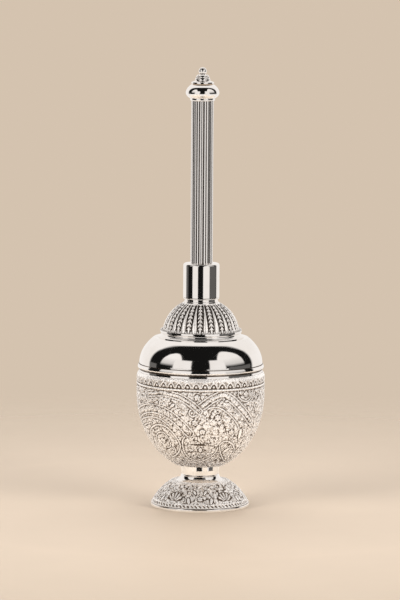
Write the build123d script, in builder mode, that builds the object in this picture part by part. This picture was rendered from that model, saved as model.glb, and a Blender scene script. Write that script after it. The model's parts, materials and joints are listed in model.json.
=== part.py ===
from build123d import *
from math import asin, cos, degrees, hypot, radians, sin, sqrt
import os

# A tall silver rosewater sprinkler, in millimetres, +Z up, standing on Z = 0 with its axis on Z.
# From the table up it is a hollow foot, a stem ring, an embossed bowl, a polished shoulder, a
# leaf dome with a screw mouth, and a long fluted neck that screws off that mouth for filling.
# The neck ends in a hollow bulb with a pierced rose screwed into its top.

# Sheet, fits and cuts
sheet = 1.0            # wall of the spun silver pieces
plate = 1.6            # thicker flat centres, where pieces are screwed or soldered together
solder_gap = 0.05      # between pieces that slide together before soldering
rest_gap = 0.05        # each side of a soft washer
turn_gap = 0.3         # between pieces that turn past each other
overrun = 1.0          # how far a cut runs past the face it opens
oval_steps = 6         # spans of the smooth line through each oval side
bead_round_share = 0.45  # rounding of a small bead's edges, as a share of its height

# Foot: a low embossed bell on a plain rim
foot_r = 36.4
foot_rim_w = 2.4
foot_rim_h = 2.6
foot_rim_round = 1.1
foot_rim_ease = 0.5    # small easing where the rim meets the table
foot_edge_in = 0.3     # bell's edge stands this far in from the rim
foot_h = 20.2          # from the rim's top to the seat of the stem ring
foot_crown_r = 21.4
foot_crown_drop = 4.1  # crown's height below that seat
foot_swell = 1.5       # bulge of the bell's side beyond a straight line
foot_cove_sink = 2.0   # hollow of the cove between crown and seat

# Stem ring, clamped between foot and bowl
stem_r = 14.0
stem_wall = 2.2
stem_h = 7.8
stem_band_h = 3.6      # upright band under the bowl; the rest draws in towards the foot
stem_draw_in = 0.4
stem_round = 1.2
stem_ease = 0.4

# Bowl
bowl_r = 47.3
bowl_base_r = 18.5
bowl_depth = 53.4      # from its flat base up to its widest level
bowl_side_h = 12.4     # upright side above that level
lip_h = 3.6            # rim that curls in above the upright side
lip_in = 1.4
lip_w = 1.3

# Boss under the bowl and the fastening that holds the foot to it
boss_r = 6.0
boss_roof = 0.8        # metal left above the blind hole
screw_r = 2.5
screw_fit = 0.1        # radial room in the holes it passes
screw_end_gap = 0.5
screw_head_r = 4.7
screw_head_h = 3.0
screw_head_round = 1.4
screw_slot_w = 1.2
screw_slot_d = 1.4
lock_washer_r = 4.5
lock_washer_h = 1.2
lock_washer_split = 0.8
flat_washer_r = 9.0
flat_washer_h = 1.0

# Girdle ring round the seam between bowl and shoulder
girdle_cove_h = 2.6
girdle_bead_h = 3.2
girdle_bead_low_h = 1.0  # part of the bead that turns under
girdle_groove_h = 0.4
girdle_cove_in = 0.5   # behind the bowl's lip
girdle_groove_in = 0.9
girdle_bead_out = 0.6  # bead beyond that lip

# Shoulder, with a skirt that laps inside the bowl's rim
shoulder_h = 19.1
shoulder_in = 0.5      # behind the bowl's lip
shoulder_ledge = 3.1   # flat left outside the dome ring
skirt_drop = 5.0       # skirt's reach below the rim of the bowl
skirt_t = 1.1

# Dome ring, a stepped moulding round the foot of the dome
dome_ring_r = 31.7
dome_ring_h = 5.3
dome_ring_foot_h = 1.1
dome_ring_neck_in = 2.2
dome_ring_lip_in = 1.7
dome_ring_lip_h = 1.3

# Leaf dome
dome_r = 28.3
dome_skirt_h = 2.7
dome_rise = 23.0
dome_top_r = 13.35
dome_bearing = 2.4     # ledge of the shoulder under the dome's edge

# Collar ring on the dome, under the neck
dome_collar_r = 13.2   # bead under the neck
dome_collar_foot_r = 12.5
dome_collar_waist_r = 12.1
dome_collar_h = 3.8
dome_collar_bead_h = 1.0
dome_collar_foot_h = 1.2

# Screw mouth through the dome's top
mouth_root_r = 9.0
mouth_bore_r = 7.0
mouth_h = 12.0         # above the collar ring
mouth_flange_r = 11.4
mouth_flange_h = 1.2
mouth_lead = 1.2       # plain length at each end of its thread
mouth_pitch = 3.0
mouth_ridge_h = 0.9
mouth_ridge_root_w = 1.3
mouth_ridge_crest_w = 0.6
ridge_sink = 0.2       # root of a thread ridge sunk into its wall
ridge_end_gap = 0.2    # left between a ridge's last turn and what lies beyond it

# Washer on the mouth
neck_washer_h = 1.6
neck_washer_in = 0.3   # its bore stands back from the mouth's bore
neck_washer_out = 1.0  # its rim stands out beyond the mouth's root

# Collar of the neck
collar_r = 13.3
collar_h = 25.6
collar_gap = 0.2       # above the dome's collar ring when screwed down
collar_wall = 0.9
collar_round = 1.6
collar_rise = 0.5      # slope of its top up to the tube

# Threaded insert inside the collar
insert_lift = 0.8      # above the collar's lower edge
insert_web = 2.5       # between the washer's seat and the tube's socket

# Fluted tube
tube_r = 8.2
tube_h = 119.0
tube_bore_r = 6.2
spigot_r = 7.45
top_spigot_h = 3.2
reed_count = 20
reed_turn = 5          # angle of the first groove, in degrees from +X
reed_rise = 0.15       # middle of a reed above its edges
reed_groove_w = 0.7
reed_groove_d = 0.32

# Ring and bulb at the tube's top
bulb_ring_r = 9.1
bulb_ring_h = 1.8
bulb_ring_low_round = 0.8
bulb_ring_top_round = 0.2
bulb_r = 12.3
bulb_base_r = 9.0
bulb_low_h = 3.9
bulb_high_h = 6.0
bulb_top_r = 8.4
bulb_plate = 1.2

# Threaded socket in the bulb's top
socket_wall = 0.85
socket_h = 4.0
socket_flange_r = 7.4
socket_flange_h = 1.2

# Pierced rose
rose_washer_h = 0.8
rose_washer_r = 7.2
rose_flange_r = 8.3
rose_flange_h = 1.0
rose_slope_h = 1.2
rose_root_r = 4.0
rose_bore_r = 3.1
rose_stub_h = 3.6      # threaded stub below the bulb's top
rose_pitch = 1.5
rose_ridge_h = 0.5
rose_ridge_root_w = 0.7
rose_ridge_crest_w = 0.35
bud_r = 5.3
bud_low_h = 2.1
bud_step = 0.7
bud_high_h = 2.3
bud_top_r = 2.4
bud_bulge = 0.35
bud_roof = 1.1
slit_count = 4
slit_w = 0.7
slit_h = 1.2

# Knob on the rose
knob_pin_r = 1.0
knob_pin_h = 1.0
knob_neck_r = 1.7
knob_neck_h = 0.4
knob_low_r = 1.9       # barrel's lower end
knob_r = 2.95
knob_belly_h = 2.2     # barrel's widest level above that end
knob_end_r = 2.3
knob_barrel_h = 3.7
knob_crown_h = 1.1

# Levels, each from the piece below it
foot_top_z = foot_rim_h + foot_h
bowl_base_z = foot_top_z + stem_h
belly_z = bowl_base_z + bowl_depth
side_top_z = belly_z + bowl_side_h
lip_z = side_top_z + lip_h
girdle_top_z = lip_z + girdle_cove_h + girdle_bead_h + girdle_groove_h
shoulder_top_z = girdle_top_z + shoulder_h
dome_ring_top_z = shoulder_top_z + dome_ring_h
dome_spring_z = shoulder_top_z + dome_skirt_h
dome_top_z = dome_spring_z + dome_rise
collar_ring_top_z = dome_top_z + dome_collar_h
mouth_top_z = collar_ring_top_z + mouth_h
washer_seat_z = mouth_top_z + rest_gap + neck_washer_h + rest_gap
collar_base_z = collar_ring_top_z + collar_gap
collar_top_z = collar_base_z + collar_h
tube_top_z = collar_top_z + tube_h
bulb_base_z = tube_top_z + bulb_ring_h
bulb_mid_z = bulb_base_z + bulb_low_h
bulb_top_z = bulb_mid_z + bulb_high_h
rose_seat_z = bulb_top_z + rest_gap + rose_washer_h + rest_gap
rose_slope_z = rose_seat_z + rose_flange_h
bud_base_z = rose_slope_z + rose_slope_h
bud_step_z = bud_base_z + bud_low_h
bud_top_z = bud_step_z + bud_high_h

# Radii that follow from a neighbour
lip_r = bowl_r - lip_in
skirt_r = lip_r - lip_w - solder_gap
girdle_bore_r = skirt_r + solder_gap
girdle_cove_r = lip_r - girdle_cove_in
girdle_bead_r = lip_r + girdle_bead_out
girdle_groove_r = lip_r - girdle_groove_in
shoulder_r = lip_r - shoulder_in
shoulder_plan_r = dome_ring_r + shoulder_ledge
mouth_crest_r = mouth_root_r + mouth_ridge_h
insert_bore_r = mouth_crest_r + turn_gap
insert_crest_r = mouth_root_r + turn_gap
insert_r = collar_r - collar_wall - solder_gap
rose_crest_r = rose_root_r + rose_ridge_h
socket_bore_r = rose_crest_r + turn_gap
socket_crest_r = rose_root_r + turn_gap
socket_r = socket_bore_r + socket_wall

print("overall height", round(bud_top_z + knob_neck_h + knob_barrel_h + knob_crown_h, 2))


def oval_height(radius, end_r, rise):
    """Upright half-axis of an oval that is radius wide at its middle and end_r wide at rise."""
    return rise / sqrt(1 - (end_r / radius) ** 2)


def oval_arc(radius, half_h, mid_z, low_z, high_z):
    """Side of an oval round Z from one level up to another, in the line being drawn."""
    low = asin((low_z - mid_z) / half_h)
    high = asin(round((high_z - mid_z) / half_h, 9))  # rounded, as a full quarter ends at 1
    turns = [low + (high - low) * step / oval_steps for step in range(oval_steps + 1)]
    points = [(radius * cos(turn), mid_z + half_h * sin(turn)) for turn in turns]
    ends = [(-radius * sin(turn), half_h * cos(turn)) for turn in (low, high)]
    return Spline(*points, tangents=ends)


def bowed(start, end, bow):
    """Middle point of an arc from start to end that bows to the right of its run."""
    run = hypot(end[0] - start[0], end[1] - start[1])
    x = (start[0] + end[0]) / 2 + bow * (end[1] - start[1]) / run
    y = (start[1] + end[1]) / 2 - bow * (end[0] - start[0]) / run
    return x, y


def polar(radius, angle):
    """Point on the plan at a radius and an angle in degrees."""
    return radius * cos(radians(angle)), radius * sin(radians(angle))


def close_to_axis(low, high):
    """Joins a side outline to the axis at both its ends, in the line being drawn."""
    Polyline(low, (0, low.Y), (0, high.Y), high)


def inset(outline, depth):
    """Shifts an outline's points by a wall, square to the outline, to its left."""
    shifted = []
    last = len(outline) - 1
    for index, (x, y) in enumerate(outline):
        x0, y0 = outline[max(index - 1, 0)]
        x1, y1 = outline[min(index + 1, last)]
        run = hypot(x1 - x0, y1 - y0)
        shifted.append((x - depth * (y1 - y0) / run, y + depth * (x1 - x0) / run))
    return shifted


def turned(*outline):
    """A closed outline of radius and height points, to be turned round Z."""
    with BuildSketch(Plane.XZ) as section:
        with BuildLine():
            Polyline(*outline, close=True)
        make_face()
    return section.sketch


def ring(inner_r, outer_r, low_z, high_z):
    """Section of a plain ring round Z."""
    return turned((inner_r, low_z), (outer_r, low_z), (outer_r, high_z), (inner_r, high_z))


def wind_ridge(root_r, crest_r, root_w, crest_w, pitch, turns, low_z):
    """Winds a right-hand thread ridge round Z onto the part being built."""
    sink = ridge_sink if crest_r > root_r else -ridge_sink
    with BuildLine() as path:
        Helix(pitch, pitch * turns, root_r, center=(0, 0, low_z))
    start = path.line @ 0
    with BuildSketch(Plane(start, x_dir=(1, 0, 0), z_dir=path.line % 0)) as section:
        Polygon(
            (-sink, -root_w / 2),
            (crest_r - root_r, -crest_w / 2),
            (crest_r - root_r, crest_w / 2),
            (-sink, root_w / 2),
            align=None,
        )
    sweep(section.sketch, path=path.line, is_frenet=True)


# Foot: bell, then the hollow under it, then the hole for the screw
foot_edge = (foot_r - foot_edge_in, foot_rim_h)
foot_crown = (foot_crown_r, foot_top_z - foot_crown_drop)
foot_seat = (stem_r, foot_top_z)
foot_outline = [
    foot_edge,
    bowed(foot_edge, foot_crown, foot_swell),
    foot_crown,
    bowed(foot_crown, foot_seat, -foot_cove_sink),
    foot_seat,
]
foot_inside = inset(foot_outline, sheet)[:-1] + [(stem_r - sheet, foot_top_z - plate)]

with BuildPart() as foot:
    for points, mode in ((foot_outline, Mode.ADD), (foot_inside, Mode.SUBTRACT)):
        with BuildSketch(Plane.XZ):
            with BuildLine():
                side = ThreePointArc(points[0], points[1], points[2])
                cove = ThreePointArc(points[2], points[3], points[4])
                close_to_axis(side @ 0, cove @ 1)
            make_face()
        revolve(axis=Axis.Z, mode=mode)
    with Locations((0, 0, foot_top_z)):
        Hole(screw_r + screw_fit)

with BuildPart() as foot_rim_ring:
    with BuildSketch():
        Circle(foot_r)
        Circle(foot_r - foot_rim_w, mode=Mode.SUBTRACT)
    extrude(amount=foot_rim_h)
    outer_edges = foot_rim_ring.edges().filter_by(GeomType.CIRCLE).sort_by(SortBy.RADIUS)[-2:]
    fillet(outer_edges.sort_by(Axis.Z)[-1], foot_rim_round)
    low_edge = foot_rim_ring.edges().group_by(Axis.Z)[0].sort_by(SortBy.RADIUS)[-1]
    fillet(low_edge, foot_rim_ease)

# Stem ring: an upright band over a drawn-in foot that turns under
stem_band_z = bowl_base_z - stem_band_h
with BuildPart() as stem_ring:
    revolve(
        turned(
            (stem_r - stem_wall, foot_top_z),
            (stem_r - stem_draw_in, foot_top_z),
            (stem_r, stem_band_z),
            (stem_r, bowl_base_z),
            (stem_r - stem_wall, bowl_base_z),
        ),
        axis=Axis.Z,
    )
    low_edge = stem_ring.edges().group_by(Axis.Z)[0].sort_by(SortBy.RADIUS)[-1]
    fillet(low_edge, stem_round)
    high_edge = stem_ring.edges().group_by(Axis.Z)[-1].sort_by(SortBy.RADIUS)[-1]
    fillet(high_edge, stem_ease)

# Bowl: half an oval under an upright side, with a rim that curls in
bowl_half_h = oval_height(bowl_r, bowl_base_r, bowl_depth)
with BuildPart() as bowl:
    with BuildSketch(Plane.XZ):
        with BuildLine():
            belly = oval_arc(bowl_r, bowl_half_h, belly_z, bowl_base_z, belly_z)
            Line(belly @ 1, (bowl_r, side_top_z))
            curl = ThreePointArc(
                (bowl_r, side_top_z),
                bowed((bowl_r, side_top_z), (lip_r, lip_z), lip_in / 4),
                (lip_r, lip_z),
            )
            close_to_axis(belly @ 0, curl @ 1)
        make_face()
    revolve(axis=Axis.Z)
    with BuildSketch(Plane.XZ):
        with BuildLine():
            inner_r = bowl_r - sheet
            inner_h = bowl_half_h - sheet
            belly = oval_arc(inner_r, inner_h, belly_z, bowl_base_z + plate, belly_z)
            Polyline(
                belly @ 1,
                (inner_r, side_top_z - lip_h / 2),
                (lip_r - lip_w, side_top_z + lip_h / 2),
                (lip_r - lip_w, lip_z + overrun),
                (0, lip_z + overrun),
                (0, bowl_base_z + plate),
                belly @ 0,
            )
        make_face()
    revolve(axis=Axis.Z, mode=Mode.SUBTRACT)

# Boss under the bowl: a blind hole keeps the bowl tight
boss_base_z = foot_top_z + rest_gap
with BuildPart() as bowl_boss:
    with BuildSketch(Plane.XY.offset(boss_base_z)):
        Circle(boss_r)
    extrude(amount=bowl_base_z - boss_base_z)
    with BuildSketch(Plane.XY.offset(boss_base_z - overrun)):
        Circle(screw_r + solder_gap)
    extrude(amount=bowl_base_z - boss_roof - boss_base_z + overrun, mode=Mode.SUBTRACT)

# Washers and screw, from the foot's plate down
flat_washer_z = foot_top_z - plate - flat_washer_h
lock_washer_z = flat_washer_z - lock_washer_h
screw_head_z = lock_washer_z - screw_head_h

with BuildPart() as flat_washer:
    with BuildSketch(Plane.XY.offset(flat_washer_z)):
        Circle(flat_washer_r)
        Circle(screw_r + screw_fit, mode=Mode.SUBTRACT)
    extrude(amount=flat_washer_h)

with BuildPart() as lock_washer:
    with BuildSketch(Plane.XY.offset(lock_washer_z)):
        Circle(lock_washer_r)
        Circle(screw_r + screw_fit, mode=Mode.SUBTRACT)
    extrude(amount=lock_washer_h)
    with Locations(Location((lock_washer_r, 0, lock_washer_z + lock_washer_h / 2), (30, 0, 0))):
        Box(2 * lock_washer_r, lock_washer_split, 4 * lock_washer_h, mode=Mode.SUBTRACT)

with BuildPart() as tie_screw:
    with BuildSketch(Plane.XY.offset(screw_head_z)):
        Circle(screw_head_r)
    extrude(amount=screw_head_h)
    fillet(tie_screw.edges().group_by(Axis.Z)[0], screw_head_round)
    with BuildSketch(Plane.XY.offset(lock_washer_z)):
        Circle(screw_r)
    extrude(amount=bowl_base_z - boss_roof - screw_end_gap - lock_washer_z)
    with Locations((0, 0, screw_head_z)):
        Box(2 * screw_head_r, screw_slot_w, 2 * screw_slot_d, mode=Mode.SUBTRACT)

# Girdle ring: a cove above the bowl's rim, a bead, and a groove under the shoulder
girdle_bead_z = lip_z + girdle_cove_h
girdle_crest_z = girdle_bead_z + girdle_bead_low_h
girdle_groove_z = girdle_bead_z + girdle_bead_h
with BuildPart() as girdle_ring:
    with BuildSketch(Plane.XZ):
        with BuildLine():
            bead_low = (girdle_cove_r, girdle_bead_z)
            bead_crest = (girdle_bead_r, girdle_crest_z)
            bead_top = (lip_r, girdle_groove_z)
            under = ThreePointArc(
                bead_low,
                bowed(bead_low, bead_crest, girdle_bead_low_h / 4),
                bead_crest,
            )
            over = ThreePointArc(
                bead_crest,
                bowed(bead_crest, bead_top, girdle_bead_out / 8),
                bead_top,
            )
            Polyline(
                over @ 1,
                (girdle_groove_r, girdle_groove_z),
                (girdle_groove_r, girdle_top_z),
                (girdle_bore_r, girdle_top_z),
                (girdle_bore_r, lip_z),
                (girdle_cove_r, lip_z),
                under @ 0,
            )
        make_face()
    revolve(axis=Axis.Z)

# Shoulder: polished cap over the girdle, its skirt inside the bowl's rim
shoulder_half_h = oval_height(shoulder_r, shoulder_plan_r, shoulder_h)
shoulder_hole_r = dome_r - dome_bearing
with BuildPart() as shoulder:
    with BuildSketch(Plane.XZ):
        with BuildLine():
            cap = oval_arc(
                shoulder_r, shoulder_half_h, girdle_top_z, girdle_top_z, shoulder_top_z
            )
            close_to_axis(cap @ 0, cap @ 1)
        make_face()
    revolve(axis=Axis.Z)
    revolve(ring(0, skirt_r, lip_z - skirt_drop, girdle_top_z), axis=Axis.Z)
    with BuildSketch(Plane.XZ):
        with BuildLine():
            vault = oval_arc(
                skirt_r - skirt_t,
                shoulder_half_h - sheet,
                girdle_top_z,
                girdle_top_z,
                shoulder_top_z - plate,
            )
            Polyline(
                vault @ 1,
                (0, shoulder_top_z - plate),
                (0, lip_z - skirt_drop - overrun),
                (skirt_r - skirt_t, lip_z - skirt_drop - overrun),
                vault @ 0,
            )
        make_face()
    revolve(axis=Axis.Z, mode=Mode.SUBTRACT)
    with Locations((0, 0, shoulder_top_z)):
        Hole(shoulder_hole_r, depth=plate + overrun)

# Dome ring: foot, hollow neck and lip
dome_ring_bore_r = dome_r + solder_gap
dome_ring_neck_r = dome_ring_r - dome_ring_neck_in
dome_ring_lip_r = dome_ring_r - dome_ring_lip_in
dome_ring_foot_z = shoulder_top_z + dome_ring_foot_h
dome_ring_lip_z = dome_ring_top_z - dome_ring_lip_h
with BuildPart() as dome_ring:
    with BuildSketch(Plane.XZ):
        with BuildLine():
            foot_step = (dome_ring_r - dome_ring_foot_h / 2, dome_ring_foot_z)
            hollow = ThreePointArc(
                foot_step,
                (dome_ring_neck_r, (foot_step[1] + dome_ring_lip_z) / 2),
                (dome_ring_lip_r, dome_ring_lip_z),
            )
            Polyline(
                hollow @ 1,
                (dome_ring_lip_r, dome_ring_top_z),
                (dome_ring_bore_r, dome_ring_top_z),
                (dome_ring_bore_r, shoulder_top_z),
                (dome_ring_r, shoulder_top_z),
                (dome_ring_r, dome_ring_foot_z - dome_ring_foot_h / 2),
                hollow @ 0,
            )
        make_face()
    revolve(axis=Axis.Z)

# Dome: stands on the shoulder inside its ring, with a flat seat for the mouth
dome_half_h = oval_height(dome_r, dome_top_r, dome_rise)
with BuildPart() as dome:
    with BuildSketch(Plane.XZ):
        with BuildLine():
            vault = oval_arc(dome_r, dome_half_h, dome_spring_z, dome_spring_z, dome_top_z)
            Polyline(
                vault @ 1,
                (0, dome_top_z),
                (0, shoulder_top_z),
                (dome_r, shoulder_top_z),
                vault @ 0,
            )
        make_face()
    revolve(axis=Axis.Z)
    with BuildSketch(Plane.XZ):
        with BuildLine():
            vault = oval_arc(
                dome_r - sheet,
                dome_half_h - sheet,
                dome_spring_z,
                dome_spring_z,
                dome_top_z - sheet,
            )
            Polyline(
                vault @ 1,
                (0, dome_top_z - sheet),
                (0, shoulder_top_z - overrun),
                (dome_r - sheet, shoulder_top_z - overrun),
                vault @ 0,
            )
        make_face()
    revolve(axis=Axis.Z, mode=Mode.SUBTRACT)
    with Locations((0, 0, dome_top_z)):
        Hole(mouth_root_r + solder_gap, depth=sheet + overrun)

# Collar ring: a plain foot, a waist, and a wider bead that the neck stands over
collar_bead_z = collar_ring_top_z - dome_collar_bead_h
with BuildPart() as dome_collar:
    bore_r = mouth_root_r + solder_gap
    revolve(ring(bore_r, dome_collar_waist_r, dome_top_z, collar_ring_top_z), axis=Axis.Z)
    foot_top = dome_top_z + dome_collar_foot_h
    revolve(ring(bore_r, dome_collar_foot_r, dome_top_z, foot_top), axis=Axis.Z)
    revolve(ring(bore_r, dome_collar_r, collar_bead_z, collar_ring_top_z), axis=Axis.Z)
    bead_edges = dome_collar.edges().filter_by(GeomType.CIRCLE).group_by(SortBy.RADIUS)[-1]
    fillet(bead_edges, dome_collar_bead_h * bead_round_share)
    foot_edge_top = dome_collar.edges().filter_by(
        lambda edge: abs(edge.center().Z - foot_top) < dome_collar_foot_h / 4
    )
    fillet(foot_edge_top.sort_by(SortBy.RADIUS)[-1], dome_collar_foot_h / 4)

# Mouth: flange under the dome's top, plain neck and a coarse thread
mouth_base_z = dome_top_z - sheet - mouth_flange_h
mouth_thread_z = collar_ring_top_z + mouth_lead + mouth_ridge_root_w / 2
mouth_turns = (mouth_top_z - mouth_lead - mouth_ridge_root_w / 2 - mouth_thread_z) / mouth_pitch
with BuildPart() as filler_mouth:
    with BuildSketch(Plane.XY.offset(mouth_base_z)):
        Circle(mouth_flange_r)
    extrude(amount=mouth_flange_h)
    with BuildSketch(Plane.XY.offset(mouth_base_z)):
        Circle(mouth_root_r)
    extrude(amount=mouth_top_z - mouth_base_z)
    with BuildSketch(Plane.XY.offset(mouth_base_z - overrun)):
        Circle(mouth_bore_r)
    extrude(amount=mouth_top_z - mouth_base_z + 2 * overrun, mode=Mode.SUBTRACT)
    wind_ridge(
        mouth_root_r,
        mouth_crest_r,
        mouth_ridge_root_w,
        mouth_ridge_crest_w,
        mouth_pitch,
        mouth_turns,
        mouth_thread_z,
    )

# Washer on the mouth's rim
with BuildPart() as neck_washer:
    with BuildSketch(Plane.XY.offset(mouth_top_z + rest_gap)):
        Circle(mouth_root_r + neck_washer_out)
        Circle(mouth_bore_r + neck_washer_in, mode=Mode.SUBTRACT)
    extrude(amount=neck_washer_h)

# Neck collar: a thin cap with a rounded shoulder that rises to the tube
collar_shoulder_z = collar_top_z - collar_rise - collar_round
with BuildPart() as neck_collar:
    with BuildSketch(Plane.XZ):
        with BuildLine():
            round_end = (collar_r - collar_round, collar_top_z - collar_rise)
            corner_bow = collar_round * (1 - cos(radians(45)))
            corner = ThreePointArc(
                (collar_r, collar_shoulder_z),
                (collar_r - corner_bow, collar_shoulder_z + collar_round - corner_bow),
                round_end,
            )
            Polyline(
                corner @ 1,
                (tube_r, collar_top_z),
                (0, collar_top_z),
                (0, collar_base_z),
                (collar_r, collar_base_z),
                corner @ 0,
            )
        make_face()
    revolve(axis=Axis.Z)
    with BuildSketch(Plane.XY.offset(collar_base_z - overrun)):
        Circle(collar_r - collar_wall)
    extrude(amount=collar_h - plate + overrun, mode=Mode.SUBTRACT)
    with BuildSketch(Plane.XY.offset(collar_top_z - plate - overrun)):
        Circle(spigot_r + solder_gap)
    extrude(amount=plate + 2 * overrun, mode=Mode.SUBTRACT)

# Insert: thread for the mouth below, socket for the tube above.
# Its ridge is half a pitch out of step with the mouth's, so it lies midway between the turns.
insert_base_z = collar_base_z + insert_lift
insert_top_z = collar_top_z - plate
socket_floor_z = washer_seat_z + insert_web
insert_thread_z = mouth_thread_z + mouth_pitch / 2
insert_thread_end_z = mouth_top_z - ridge_end_gap - mouth_ridge_root_w / 2
insert_turns = (insert_thread_end_z - insert_thread_z) / mouth_pitch
with BuildPart() as collar_insert:
    with BuildSketch(Plane.XY.offset(insert_base_z)):
        Circle(insert_r)
    extrude(amount=insert_top_z - insert_base_z)
    with BuildSketch(Plane.XY.offset(insert_base_z - overrun)):
        Circle(insert_bore_r)
    extrude(amount=washer_seat_z - insert_base_z + overrun, mode=Mode.SUBTRACT)
    with BuildSketch(Plane.XY.offset(washer_seat_z - overrun)):
        Circle(tube_bore_r)
    extrude(amount=insert_web + 2 * overrun, mode=Mode.SUBTRACT)
    with BuildSketch(Plane.XY.offset(socket_floor_z)):
        Circle(spigot_r + solder_gap)
    extrude(amount=insert_top_z - socket_floor_z + overrun, mode=Mode.SUBTRACT)
    wind_ridge(
        insert_bore_r,
        insert_crest_r,
        mouth_ridge_root_w,
        mouth_ridge_crest_w,
        mouth_pitch,
        insert_turns,
        insert_thread_z,
    )

# Tube: flat reeds with narrow grooves between them, plain spigots at both ends
reed_angle = 360 / reed_count
reed_edge_r = tube_r - reed_rise
groove_half_angle = degrees(reed_groove_w / 2 / reed_edge_r)
with BuildPart() as neck_tube:
    with BuildSketch(Plane.XY.offset(collar_top_z)):
        with BuildLine():
            for reed in range(reed_count):
                groove = reed_turn + reed * reed_angle
                ThreePointArc(
                    polar(reed_edge_r, groove - groove_half_angle),
                    polar(reed_edge_r - reed_groove_d, groove),
                    polar(reed_edge_r, groove + groove_half_angle),
                )
                ThreePointArc(
                    polar(reed_edge_r, groove + groove_half_angle),
                    polar(tube_r, groove + reed_angle / 2),
                    polar(reed_edge_r, groove + reed_angle - groove_half_angle),
                )
        make_face()
    extrude(amount=tube_h)
    with BuildSketch(Plane.XY.offset(socket_floor_z)):
        Circle(spigot_r)
    extrude(amount=tube_top_z + top_spigot_h - socket_floor_z)
    with BuildSketch(Plane.XY.offset(socket_floor_z - overrun)):
        Circle(tube_bore_r)
    extrude(amount=tube_top_z + top_spigot_h - socket_floor_z + 2 * overrun, mode=Mode.SUBTRACT)

with BuildPart() as bulb_ring:
    with BuildSketch(Plane.XY.offset(tube_top_z)):
        Circle(bulb_ring_r)
        Circle(spigot_r + solder_gap, mode=Mode.SUBTRACT)
    extrude(amount=bulb_ring_h)
    ring_edges = bulb_ring.edges().filter_by(GeomType.CIRCLE).sort_by(SortBy.RADIUS)[-2:]
    low_edge, top_edge = ring_edges.sort_by(Axis.Z)
    fillet(low_edge, bulb_ring_low_round)
    top_edge = bulb_ring.edges().group_by(Axis.Z)[-1].sort_by(SortBy.RADIUS)[-1]
    fillet(top_edge, bulb_ring_top_round)

# Bulb: a flattened hollow ball, holed below for the tube and above for the rose
bulb_low_half_h = oval_height(bulb_r, bulb_base_r, bulb_low_h)
bulb_high_half_h = oval_height(bulb_r, bulb_top_r, bulb_high_h)
with BuildPart() as bulb:
    with BuildSketch(Plane.XZ):
        with BuildLine():
            low = oval_arc(bulb_r, bulb_low_half_h, bulb_mid_z, bulb_base_z, bulb_mid_z)
            high = oval_arc(bulb_r, bulb_high_half_h, bulb_mid_z, bulb_mid_z, bulb_top_z)
            close_to_axis(low @ 0, high @ 1)
        make_face()
    revolve(axis=Axis.Z)
    with BuildSketch(Plane.XZ):
        with BuildLine():
            low = oval_arc(
                bulb_r - sheet,
                bulb_low_half_h - sheet,
                bulb_mid_z,
                bulb_base_z + bulb_plate,
                bulb_mid_z,
            )
            high = oval_arc(
                bulb_r - sheet,
                bulb_high_half_h - sheet,
                bulb_mid_z,
                bulb_mid_z,
                bulb_top_z - bulb_plate,
            )
            close_to_axis(low @ 0, high @ 1)
        make_face()
    revolve(axis=Axis.Z, mode=Mode.SUBTRACT)
    with BuildSketch(Plane.XY.offset(bulb_base_z - overrun)):
        Circle(spigot_r + solder_gap)
    extrude(amount=bulb_plate + 2 * overrun, mode=Mode.SUBTRACT)
    with BuildSketch(Plane.XY.offset(bulb_top_z - bulb_plate - overrun)):
        Circle(socket_r + solder_gap)
    extrude(amount=bulb_plate + 2 * overrun, mode=Mode.SUBTRACT)

# Socket: a threaded bush with a flange under the bulb's top
socket_base_z = bulb_top_z - socket_h
rose_thread_z = bulb_top_z - rose_stub_h + rose_ridge_root_w
rose_thread_end_z = bulb_top_z - ridge_end_gap - rose_ridge_root_w / 2
socket_thread_z = rose_thread_z + rose_pitch / 2
with BuildPart() as rose_socket:
    with BuildSketch(Plane.XY.offset(socket_base_z)):
        Circle(socket_r)
    extrude(amount=socket_h)
    with BuildSketch(Plane.XY.offset(bulb_top_z - bulb_plate - socket_flange_h)):
        Circle(socket_flange_r)
    extrude(amount=socket_flange_h)
    with BuildSketch(Plane.XY.offset(socket_base_z - overrun)):
        Circle(socket_bore_r)
    extrude(amount=socket_h + 2 * overrun, mode=Mode.SUBTRACT)
    wind_ridge(
        socket_bore_r,
        socket_crest_r,
        rose_ridge_root_w,
        rose_ridge_crest_w,
        rose_pitch,
        (rose_thread_end_z - socket_thread_z) / rose_pitch,
        socket_thread_z,
    )

with BuildPart() as rose_washer:
    with BuildSketch(Plane.XY.offset(bulb_top_z + rest_gap)):
        Circle(rose_washer_r)
        Circle(rose_root_r + rest_gap, mode=Mode.SUBTRACT)
    extrude(amount=rose_washer_h)

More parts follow.
